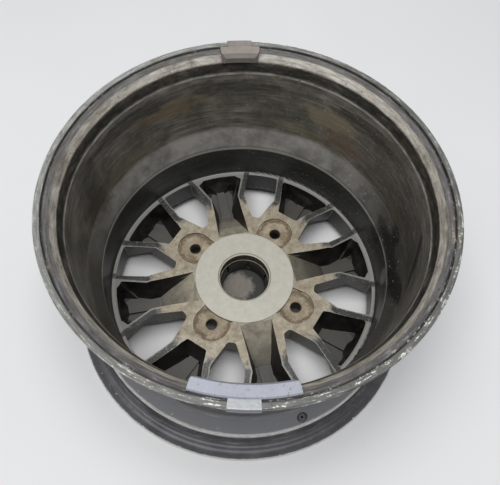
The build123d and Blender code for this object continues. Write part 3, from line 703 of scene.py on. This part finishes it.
# Painted highlight: the cone is painted brightest on the far side
facing = toward(tree, place, (0, 1), 180 * mm)
far_cone_highlight = add_node(
    tree, "ShaderNodeMapRange", {"Value": facing, "From Min": 0.3, "From Max": 1.0, "To Max": 0.6}
)
on_cone = add_node(tree, "ShaderNodeMath", {0: radius, 1: 178.8 * mm}, operation="SUBTRACT")
on_cone = add_node(tree, "ShaderNodeMath", {0: on_cone}, operation="ABSOLUTE")
on_cone = add_node(
    tree, "ShaderNodeMapRange", {"Value": on_cone, "From Min": 2.4 * mm, "From Max": 1.6 * mm}
)
far_cone_highlight = add_node(tree, "ShaderNodeMath", {0: far_cone_highlight, 1: on_cone}, operation="MULTIPLY")
tone = add_node(
    tree, "ShaderNodeMixRGB", {"Fac": far_cone_highlight, "Color1": tone, "Color2": linear("#e3ded4")}
)
brown = add_node(
    tree, "ShaderNodeMapRange", {"Value": cloud, "From Min": 0.53, "From Max": 0.68, "To Max": 0.6}
)
tone = add_node(tree, "ShaderNodeMixRGB", {"Fac": brown, "Color1": tone, "Color2": linear("#5c4f40")})
lined = add_node(
    tree,
    "ShaderNodeMapRange",
    {"Value": rings, "From Min": 0.3, "From Max": 0.7, "To Min": 0.55, "To Max": 1.35},
)
tone = add_node(
    tree, "ShaderNodeMixRGB", {"Fac": 1.0, "Color1": tone, "Color2": lined}, blend_type="MULTIPLY"
)
dashes = add_node(tree, "ShaderNodeMath", {0: chip, 1: rings}, operation="ADD")
chip_share = add_node(
    tree, "ShaderNodeMapRange", {"Value": dashes, "From Min": 1.095, "From Max": 1.17, "To Max": 0.95}
)
outside = add_node(
    tree,
    "ShaderNodeMapRange",
    {"Value": radius, "From Min": 184 * mm, "From Max": 191 * mm, "To Min": 0.12},
)
chip_share = add_node(tree, "ShaderNodeMath", {0: chip_share, 1: outside}, operation="MULTIPLY")
worn_edge = add_node(
    tree,
    "ShaderNodeMapRange",
    {"Value": radius, "From Min": 193.6 * mm, "From Max": 194.2 * mm, "To Max": 0.6},
)
worn_edge = add_node(tree, "ShaderNodeMath", {0: worn_edge, 1: ring_share}, operation="MULTIPLY")
tone = add_node(
    tree, "ShaderNodeMixRGB", {"Fac": worn_edge, "Color1": tone, "Color2": linear("#cfcfca")}
)
# Most chips are on the near right, as a tyre lever leaves them, and the lip there is painted darker as
# painted shade
facing = toward(tree, place, (0.5, -0.85), 190 * mm)
near_right = add_node(
    tree,
    "ShaderNodeMapRange",
    {"Value": facing, "From Min": 0.3, "From Max": 0.95, "To Min": 0.3, "To Max": 1.0},
)
chip_share = add_node(tree, "ShaderNodeMath", {0: chip_share, 1: near_right}, operation="MULTIPLY")
near_right_shade = add_node(tree, "ShaderNodeMath", {0: near_right, 1: 0.45}, operation="MULTIPLY")
near_right_shade = add_node(tree, "ShaderNodeMath", {0: near_right_shade, 1: on_lip}, operation="MULTIPLY")
tone = add_node(tree, "ShaderNodeMixRGB", {"Fac": near_right_shade, "Color1": tone, "Color2": linear("#3a3936")})
tone = add_node(
    tree, "ShaderNodeMixRGB", {"Fac": chip_share, "Color1": tone, "Color2": linear("#e2e1db")}
)
pit_share = add_node(
    tree, "ShaderNodeMapRange", {"Value": chip, "From Min": 0.4, "From Max": 0.34, "To Max": 0.75}
)
tone = add_node(
    tree, "ShaderNodeMixRGB", {"Fac": pit_share, "Color1": tone, "Color2": linear("#2b2926")}
)
apply_finish(tree, shader, tone, (rings, 0.15 * mm, 0.6), (chip, 0.4 * mm, 0.4))

# Tyre side of the barrel: smooth charcoal paint, scraped in broken rings where the tyre's beads sit.
tyre_paint, tree, shader, place = new_finish("smooth_charcoal_paint", 0.38, 0.1)
height = add_node(tree, "ShaderNodeSeparateXYZ", {0: place}, "Z")
round_place = add_node(
    tree, "ShaderNodeVectorMath", {0: place, 1: (0.08, 0.08, 1)}, operation="MULTIPLY"
)
streak = add_node(
    tree,
    "ShaderNodeTexNoise",
    {"Vector": round_place, "Scale": 1 / (2 * mm), "Detail": 7.0, "Roughness": 0.7},
)
cloud = add_node(
    tree,
    "ShaderNodeTexNoise",
    {"Vector": place, "Scale": 1 / (30 * mm), "Detail": 8.0, "Roughness": 0.68},
)
grain = add_node(tree, "ShaderNodeTexNoise", {"Vector": place, "Scale": 1 / (3 * mm), "Detail": 4.0})
chip_place = add_node(tree, "ShaderNodeVectorMath", {0: place, 1: (0.4, 0.4, 1)}, operation="MULTIPLY")
chip = add_node(
    tree,
    "ShaderNodeTexNoise",
    {"Vector": chip_place, "Scale": 1 / (2.5 * mm), "Detail": 5.0, "Roughness": 0.7},
)
cloud_share = add_node(tree, "ShaderNodeMapRange", {"Value": cloud, "From Min": 0.35, "From Max": 0.65})
tone = add_node(
    tree,
    "ShaderNodeMixRGB",
    {"Fac": cloud_share, "Color1": linear("#3b3b3e"), "Color2": linear("#565558")},
)
lined = add_node(
    tree,
    "ShaderNodeMapRange",
    {"Value": streak, "From Min": 0.3, "From Max": 0.7, "To Min": 0.82, "To Max": 1.2},
)
tone = add_node(
    tree, "ShaderNodeMixRGB", {"Fac": 1.0, "Color1": tone, "Color2": lined}, blend_type="MULTIPLY"
)
# Painted light: the slope above the outboard hump faces up, so it is painted paler there
on_slope = add_node(tree, "ShaderNodeMath", {0: height, 1: 9 * mm}, operation="ADD")
on_slope = add_node(tree, "ShaderNodeMath", {0: on_slope}, operation="ABSOLUTE")
dust_and_painted_light = add_node(
    tree,
    "ShaderNodeMapRange",
    {"Value": on_slope, "From Min": 16 * mm, "From Max": 4 * mm, "To Max": 0.75},
)
tone = add_node(tree, "ShaderNodeMixRGB", {"Fac": dust_and_painted_light, "Color1": tone, "Color2": linear("#858588")})
# Rubbed bands by height in mm, their colour and the streak level at which they show
for low, high, colour, level in (
    (-26.0, -14.0, "#c6c5bf", 0.4),
    (-41.5, -26.0, "#83827f", 0.56),
    (136.0, 141.5, "#b4b3ae", 0.46),
    (143.0, 160.0, "#83827f", 0.56),
    (-53.5, -47.5, "#dddcd6", 0.36),
    (167.0, 172.0, "#a9a8a3", 0.42),
    (-5.0, -1.0, "#8f8e8a", 0.6),
    (41.0, 46.0, "#8f8e8a", 0.58),
):
    away = add_node(tree, "ShaderNodeMath", {0: height, 1: (low + high) / 2 * mm}, operation="SUBTRACT")
    away = add_node(tree, "ShaderNodeMath", {0: away}, operation="ABSOLUTE")
    away = add_node(tree, "ShaderNodeMath", {0: grain, 1: 2 * mm, 2: away}, operation="MULTIPLY_ADD")
    reach = (high - low) / 2 * mm + 1 * mm
    band = add_node(
        tree,
        "ShaderNodeMapRange",
        {"Value": away, "From Min": reach + 0.8 * mm, "From Max": reach - 0.8 * mm, "To Max": 0.85},
    )
    over = add_node(
        tree, "ShaderNodeMapRange", {"Value": streak, "From Min": level - 0.06, "From Max": level + 0.1}
    )
    share = add_node(tree, "ShaderNodeMath", {0: band, 1: over}, operation="MULTIPLY")
    tone = add_node(tree, "ShaderNodeMixRGB", {"Fac": share, "Color1": tone, "Color2": linear(colour)})
# White chips along the outboard hump and the street-side lip
for low, high, amount in ((-26.0, -13.0, 0.27), (-54.0, -45.0, 0.22), (134.0, 141.0, 0.2)):
    away = add_node(tree, "ShaderNodeMath", {0: height, 1: (low + high) / 2 * mm}, operation="SUBTRACT")
    away = add_node(tree, "ShaderNodeMath", {0: away}, operation="ABSOLUTE")
    band = add_node(
        tree,
        "ShaderNodeMapRange",
        {"Value": away, "From Min": (high - low) / 2 * mm, "From Max": 0.0, "To Max": amount},
    )
    over = add_node(tree, "ShaderNodeMath", {0: chip, 1: band}, operation="ADD")
    share = add_node(
        tree, "ShaderNodeMapRange", {"Value": over, "From Min": 0.67, "From Max": 0.72, "To Max": 0.9}
    )
    tone = add_node(
        tree, "ShaderNodeMixRGB", {"Fac": share, "Color1": tone, "Color2": linear("#cfcec8")}
    )
apply_finish(tree, shader, tone, (streak, 0.12 * mm, 0.4), (grain, 0.2 * mm, 0.2))

# Street side: the same charcoal paint, cleaner and glossier, with fine orange peel and light road dust.
street_paint, tree, shader, place = new_finish("glossy_charcoal_paint", 0.3, 0.15)
cloud = add_node(
    tree,
    "ShaderNodeTexNoise",
    {"Vector": place, "Scale": 1 / (25 * mm), "Detail": 6.0, "Roughness": 0.65},
)
peel = add_node(tree, "ShaderNodeTexNoise", {"Vector": place, "Scale": 1 / (1.2 * mm), "Detail": 2.0})
dust_and_painted_light = add_node(
    tree, "ShaderNodeMapRange", {"Value": cloud, "From Min": 0.45, "From Max": 0.75, "To Max": 0.4}
)
tone = add_node(
    tree, "ShaderNodeMixRGB", {"Fac": dust_and_painted_light, "Color1": linear("#313236"), "Color2": linear("#57534c")}
)
dull = add_node(tree, "ShaderNodeMapRange", {"Value": cloud, "To Min": 0.2, "To Max": 0.5})
tree.links.new(dull, shader.inputs["Roughness"])
apply_finish(tree, shader, tone, (peel, 0.05 * mm, 0.4))

# Each face gets its finish from where it lies and which way it faces. The limits between finishes are
# radii, heights and a reach from the stud, in mm, set on the casting's own steps
bore_edge = 30.6
bore_low = -14.5
pad_reach = 21.0
pad_low = -10.5
spider_low = -10.8
ring_low = -0.7
ring_edge = 56.5
ledge_edge = 150.0
flange_high = 145.8
lip_high = 168.0
web_low = -36.3
window_draft = 0.27
finishes = [
    turned_alloy,
    pad_alloy,
    bore_alloy,
    cast_paint,
    shaded_hollow_paint,
    window_paint,
    barrel_paint,
    flange_alloy,
    tyre_paint,
    street_paint,
]
wheel.data.materials.clear()
for finish in finishes:
    wheel.data.materials.append(finish)
for face in wheel.data.polygons:
    x, y, z = (v / mm for v in face.center)
    radius = math.hypot(x, y)
    outward = (face.normal.x * x + face.normal.y * y) / max(radius, 0.1)
    upward = face.normal.z
    angle = math.atan2(y, x)
    off_spoke = abs(radius * math.sin(folded(angle - stud_angle, window_pitch)))
    turn = folded(angle - stud_angle, stud_pitch)
    from_stud = math.hypot(radius * math.cos(turn) - stud_circle / mm, radius * math.sin(turn))
    # The window's straight sides spread toward the street side with the draft of its core
    turn = folded(angle - window_angle, window_pitch)
    along = (radius * math.cos(turn) * mm - window_tip) / (window_kink - window_tip)
    half = window_tip_half + (window_kink_half - window_tip_half) * min(max(along, 0), 1)
    past_window = abs(radius * math.sin(turn)) - half / mm + window_draft * min(z, 0)
    if radius < bore_edge and z > bore_low and upward < 0.9:
        finish = bore_alloy
    elif from_stud < pad_reach and pad_low < z < ring_low and radius > 56 and upward > -0.1:
        finish = pad_alloy
    elif upward > 0.9 and z > spider_low and radius < 154.5 or (z > ring_low and 55 < radius < 58):
        finish = turned_alloy
    elif radius > ledge_edge and z > flange_high and outward < 0.3 or (radius > 180 and z > lip_high):
        finish = flange_alloy
    elif outward > 0.05 and radius > 158 and z > -52.7:
        finish = tyre_paint
    elif radius > 177 and abs(upward) > 0.5 and -43 < z < 161:
        finish = tyre_paint
    elif radius > 148 and z > -12 and outward < -0.2:
        finish = barrel_paint
    elif radius > ledge_edge or z < web_low or upward < -0.7:
        finish = street_paint
    elif upward > 0.45 and radius < 138.5 and off_spoke < 19:
        finish = cast_paint
    # Window end walls that face the hub are left out here and take the near-black hollow paint, as
    # painted shade
    elif radius > ring_edge and past_window < 4 and not (outward < -0.7 and radius > 140):
        finish = window_paint
    elif radius > ring_edge:
        finish = shaded_hollow_paint
    else:
        finish = street_paint
    face.material_index = finishes.index(finish)

# ---- Balance weights ----
# Zinc bodies pushed onto the inboard flange by a steel clip that hooks over its lip.
# The near one is new and silver, and the far one has been through years of brake dust.

# Powder coat over cast zinc: satin silver with a lilac cast, scuffed grey and knocked bright in spots.
weight_paint, tree, shader, place = new_finish("silver_powder_coated_zinc", 0.5, 0.15)
cloud = add_node(
    tree,
    "ShaderNodeTexNoise",
    {"Vector": place, "Scale": 1 / (20 * mm), "Detail": 5.0, "Roughness": 0.6},
)
scuff = add_node(
    tree,
    "ShaderNodeTexNoise",
    {"Vector": place, "Scale": 1 / (3.5 * mm), "Detail": 5.0, "Roughness": 0.75},
)
tone = add_node(
    tree, "ShaderNodeMixRGB", {"Fac": cloud, "Color1": linear("#9fa2ad"), "Color2": linear("#8d9099")}
)
scuffed = add_node(
    tree, "ShaderNodeMapRange", {"Value": scuff, "From Min": 0.57, "From Max": 0.63, "To Max": 0.8}
)
tone = add_node(tree, "ShaderNodeMixRGB", {"Fac": scuffed, "Color1": tone, "Color2": linear("#6b6b70")})
bright = add_node(
    tree, "ShaderNodeMapRange", {"Value": scuff, "From Min": 0.36, "From Max": 0.32, "To Max": 0.7}
)
tone = add_node(tree, "ShaderNodeMixRGB", {"Fac": bright, "Color1": tone, "Color2": linear("#dcdde2")})
apply_finish(tree, shader, tone, (scuff, 0.3 * mm, 0.3))

# Zinc plate on pressed spring steel: soft grey-white metal, slightly mottled.
clip_steel, tree, shader, place = new_finish("zinc_plated_spring_steel", 0.38, 0.5)
scuff = add_node(
    tree,
    "ShaderNodeTexNoise",
    {"Vector": place, "Scale": 1 / (3 * mm), "Detail": 5.0, "Roughness": 0.7},
)
tone = add_node(
    tree, "ShaderNodeMixRGB", {"Fac": scuff, "Color1": linear("#939597"), "Color2": linear("#6c6e70")}
)
apply_finish(tree, shader, tone, (scuff, 0.3 * mm, 0.4))

# Weathered cast zinc: dull and chalky, browned by brake dust.
old_zinc, tree, shader, place = new_finish("dusty_weathered_zinc", 0.7)
cloud = add_node(
    tree,
    "ShaderNodeTexNoise",
    {"Vector": place, "Scale": 1 / (12 * mm), "Detail": 6.0, "Roughness": 0.7},
)
grain = add_node(tree, "ShaderNodeTexNoise", {"Vector": place, "Scale": 1 / (1.5 * mm), "Detail": 3.0})
tone = add_node(
    tree, "ShaderNodeMixRGB", {"Fac": cloud, "Color1": linear("#9c968f"), "Color2": linear("#746b62")}
)
apply_finish(tree, shader, tone, (grain, 0.3 * mm, 0.5))

# Oxidised spring steel: grey-brown and dull, with little bare metal left to shine.
old_steel, tree, shader, place = new_finish("dull_oxidised_spring_steel", 0.6, 0.3)
cloud = add_node(
    tree,
    "ShaderNodeTexNoise",
    {"Vector": place, "Scale": 1 / (8 * mm), "Detail": 6.0, "Roughness": 0.7},
)
tone = add_node(
    tree, "ShaderNodeMixRGB", {"Fac": cloud, "Color1": linear("#a39c96"), "Color2": linear("#6f665f")}
)
apply_finish(tree, shader, tone, (cloud, 0.3 * mm, 0.3))

for name, finish, slot in (
    ("weight", weight_paint, "weight_paint"),
    ("weight_clip", clip_steel, "clip_steel"),
    ("small_weight", old_zinc, "old_weight"),
    ("small_weight_clip", old_steel, "old_clip"),
):
    nodes[name].data.materials.clear()
    nodes[name].data.materials.append(finish)

# ---- Valve ----
# A small snap-in tyre valve: rubber moulded round a brass stem, with a screwed core and a plastic cap.
# Only the foot of the rubber shows from the tyre side, greyed by dust to nearly the paint's tone.

# Moulded EPDM: soft grey-black with dust in its pores.
valve_rubber, tree, shader, place = new_finish("moulded_epdm_rubber", 0.6)
dust_and_painted_light = add_node(tree, "ShaderNodeTexNoise", {"Vector": place, "Scale": 1 / (3 * mm), "Detail": 4.0})
tone = add_node(
    tree, "ShaderNodeMixRGB", {"Fac": dust_and_painted_light, "Color1": linear("#474648"), "Color2": linear("#6a6868")}
)
apply_finish(tree, shader, tone, (dust_and_painted_light, 0.1 * mm, 0.4))

# Turned brass: yellow metal, browned in patches.
valve_brass, tree, shader, place = new_finish("turned_brass", 0.35, 1.0)
tarnish = add_node(tree, "ShaderNodeTexNoise", {"Vector": place, "Scale": 1 / (2 * mm), "Detail": 4.0})
tone = add_node(
    tree, "ShaderNodeMixRGB", {"Fac": tarnish, "Color1": linear("#c9a65c"), "Color2": linear("#8a6f3c")}
)
apply_finish(tree, shader, tone, (tarnish, 0.05 * mm, 0.3))

# Nitrile rubber: black with a faint bloom.
seal_rubber, tree, shader, place = new_finish("nitrile_rubber", 0.55)
bloom = add_node(tree, "ShaderNodeTexNoise", {"Vector": place, "Scale": 1 / (1 * mm), "Detail": 3.0})
tone = add_node(
    tree, "ShaderNodeMixRGB", {"Fac": bloom, "Color1": linear("#1b1b1c"), "Color2": linear("#2c2b2a")}
)
apply_finish(tree, shader, tone)

# Drawn spring wire: bright bluish steel.
spring_steel, tree, shader, place = new_finish("drawn_spring_steel", 0.3, 1.0)
drawn = add_node(tree, "ShaderNodeTexNoise", {"Vector": place, "Scale": 1 / (0.5 * mm), "Detail": 2.0})
tone = add_node(
    tree, "ShaderNodeMixRGB", {"Fac": drawn, "Color1": linear("#b8bac0"), "Color2": linear("#8f9197")}
)
apply_finish(tree, shader, tone)

# Moulded ABS: black with a low sheen and a fine spark-eroded grain.
cap_plastic, tree, shader, place = new_finish("moulded_black_abs", 0.45)
cloud = add_node(
    tree,
    "ShaderNodeTexNoise",
    {"Vector": place, "Scale": 1 / (9 * mm), "Detail": 5.0, "Roughness": 0.6},
)
grain = add_node(tree, "ShaderNodeTexNoise", {"Vector": place, "Scale": 1 / (1 * mm), "Detail": 3.0})
tone = add_node(
    tree, "ShaderNodeMixRGB", {"Fac": cloud, "Color1": linear("#151515"), "Color2": linear("#2a2927")}
)
apply_finish(tree, shader, tone, (grain, 0.1 * mm, 0.3))

for name, finish, slot in (
    ("valve_rubber", valve_rubber, "valve_rubber"),
    ("valve_stem", valve_brass, "valve_brass"),
    ("valve_core", valve_brass, "valve_brass"),
    ("valve_pin", valve_brass, "valve_brass"),
    ("valve_core_seal", seal_rubber, "seal_rubber"),
    ("valve_core_spring", spring_steel, "spring_steel"),
    ("valve_cap", cap_plastic, "cap_plastic"),
    ("valve_cap_gasket", seal_rubber, "seal_rubber"),
):
    nodes[name].data.materials.clear()
    nodes[name].data.materials.append(finish)

# ---- Centre cap ----
# A moulded black cup held in the bore by sprung fingers, its floor seen through the hub from behind.
# Grey-brown dust has settled on the floor and left a ragged edge.

# The same plastic under settled dust, so dull and grey-brown in the middle.
cap_floor, tree, shader, place = new_finish("dusty_moulded_black_abs", 0.6)
cloud = add_node(
    tree,
    "ShaderNodeTexNoise",
    {"Vector": place, "Scale": 1 / (10 * mm), "Detail": 6.0, "Roughness": 0.7},
)
offset = add_node(tree, "ShaderNodeVectorMath", {0: place, 1: (8 * mm, -2 * mm, 0)}, operation="ADD")
radius = from_axle(tree, offset)
ragged = add_node(tree, "ShaderNodeMath", {0: cloud, 1: 26 * mm, 2: radius}, operation="MULTIPLY_ADD")
dust_and_painted_light = add_node(
    tree,
    "ShaderNodeMapRange",
    {"Value": ragged, "From Min": 34.0 * mm, "From Max": 28.5 * mm, "To Max": 0.9},
)
dust_tone = add_node(
    tree, "ShaderNodeMixRGB", {"Fac": cloud, "Color1": linear("#8a847a"), "Color2": linear("#5e584f")}
)
tone = add_node(
    tree, "ShaderNodeMixRGB", {"Fac": dust_and_painted_light, "Color1": linear("#262523"), "Color2": dust_tone}
)
grain = add_node(tree, "ShaderNodeTexNoise", {"Vector": place, "Scale": 1 / (1 * mm), "Detail": 3.0})
apply_finish(tree, shader, tone, (grain, 0.2 * mm, 0.4))
centre_cap = nodes["centre_cap"]
centre_cap.data.materials.clear()
centre_cap.data.materials.append(cap_plastic)
centre_cap.data.materials.append(cap_floor)
for face in centre_cap.data.polygons:
    face.material_index = int(face.normal.z > 0.9 and face.center.z < -32 * mm)

low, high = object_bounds()
